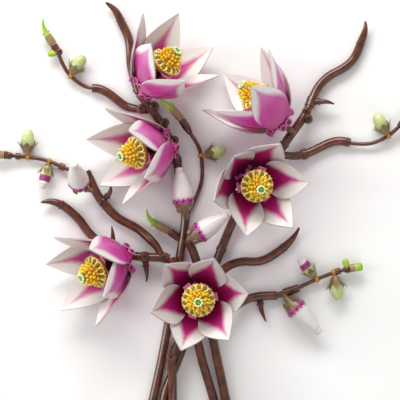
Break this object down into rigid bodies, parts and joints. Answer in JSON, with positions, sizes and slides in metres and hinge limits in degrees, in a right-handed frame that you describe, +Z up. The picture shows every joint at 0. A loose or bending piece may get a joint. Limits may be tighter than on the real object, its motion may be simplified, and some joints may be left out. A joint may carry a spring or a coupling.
{
  "type": "magnolia branch",
  "caption": "Spray of magnolia branches in glossy interlocking plastic, with open blossoms, white and green buds and curved twigs, lying on its back with plain stem ends.",
  "frame": {"origin": "middle of the bounding box at the surface that the spray lies on", "axes": "+Z up, away from the surface; +Y from the plain stem ends to the branch tips; +X to the right across the spray, seen from above"},
  "size_m": [0.3568, 0.3406, 0.0856],
  "materials": {
    "brown_plastic": "glossy moulded ABS, dark reddish brown",
    "printed_petal": "glossy white ABS with a magenta print that fades to the edge",
    "yellow_plastic": "glossy moulded ABS, warm yellow",
    "white_plastic": "glossy moulded ABS, white, with a pink printed collar",
    "pale_green_plastic": "glossy moulded ABS, yellowish green, in a dark tan calyx",
    "lime_plastic": "glossy moulded ABS, lime green, on a tan barrel"
  },
  "bodies": {
    "root": {"branch_front_right": "brown_plastic", "branch_left_arm": "brown_plastic", "branch_left_bow": "brown_plastic", "branch_low_left": "brown_plastic", "branch_low_right": "brown_plastic", "branch_right_arm": "brown_plastic", "branch_top_left": "brown_plastic", "branch_top_right": "brown_plastic", "flower_centre_inner_petals": "printed_petal", "flower_centre_outer_petals": "printed_petal", "flower_centre_stamens": "yellow_plastic", "flower_front_inner_petals": "printed_petal", "flower_front_outer_petals": "printed_petal", "flower_front_stamens": "yellow_plastic", "flower_low_left_inner_petals": "printed_petal", "flower_low_left_outer_petals": "printed_petal", "flower_low_left_stamens": "yellow_plastic", "flower_mid_left_inner_petals": "printed_petal", "flower_mid_left_outer_petals": "printed_petal", "flower_mid_left_stamens": "yellow_plastic", "flower_top_left_inner_petals": "printed_petal", "flower_top_left_outer_petals": "printed_petal", "flower_top_left_stamens": "yellow_plastic", "flower_top_right_inner_petals": "printed_petal", "flower_top_right_outer_petals": "printed_petal", "flower_top_right_stamens": "yellow_plastic", "green_bud_centre": "pale_green_plastic", "green_bud_left": "pale_green_plastic", "green_bud_low_right": "pale_green_plastic", "green_bud_right": "pale_green_plastic", "green_bud_top_left": "pale_green_plastic", "opening_bud_left": "pale_green_plastic", "opening_bud_low_right": "pale_green_plastic", "shoot_centre": "lime_plastic", "shoot_far_left": "lime_plastic", "shoot_far_right": "lime_plastic", "shoot_low_centre": "lime_plastic", "shoot_low_right": "lime_plastic", "shoot_top_left": "lime_plastic", "stem_clip": "brown_plastic", "stem_inner_left": "brown_plastic", "stem_inner_right": "brown_plastic", "stem_long_left": "brown_plastic", "stem_long_right": "brown_plastic", "thorn_front_right": "brown_plastic", "thorn_left_bow": "brown_plastic", "thorn_low_left_lower": "brown_plastic", "thorn_low_left_upper": "brown_plastic", "thorn_top_right": "brown_plastic", "twig_centre": "brown_plastic", "twig_left": "brown_plastic", "twig_low_right": "brown_plastic", "twig_right": "brown_plastic", "twig_top_left": "brown_plastic", "white_bud_centre_lower": "white_plastic", "white_bud_centre_upper": "white_plastic", "white_bud_left": "white_plastic", "white_bud_low_right": "white_plastic"}
  },
  "joints": []
}
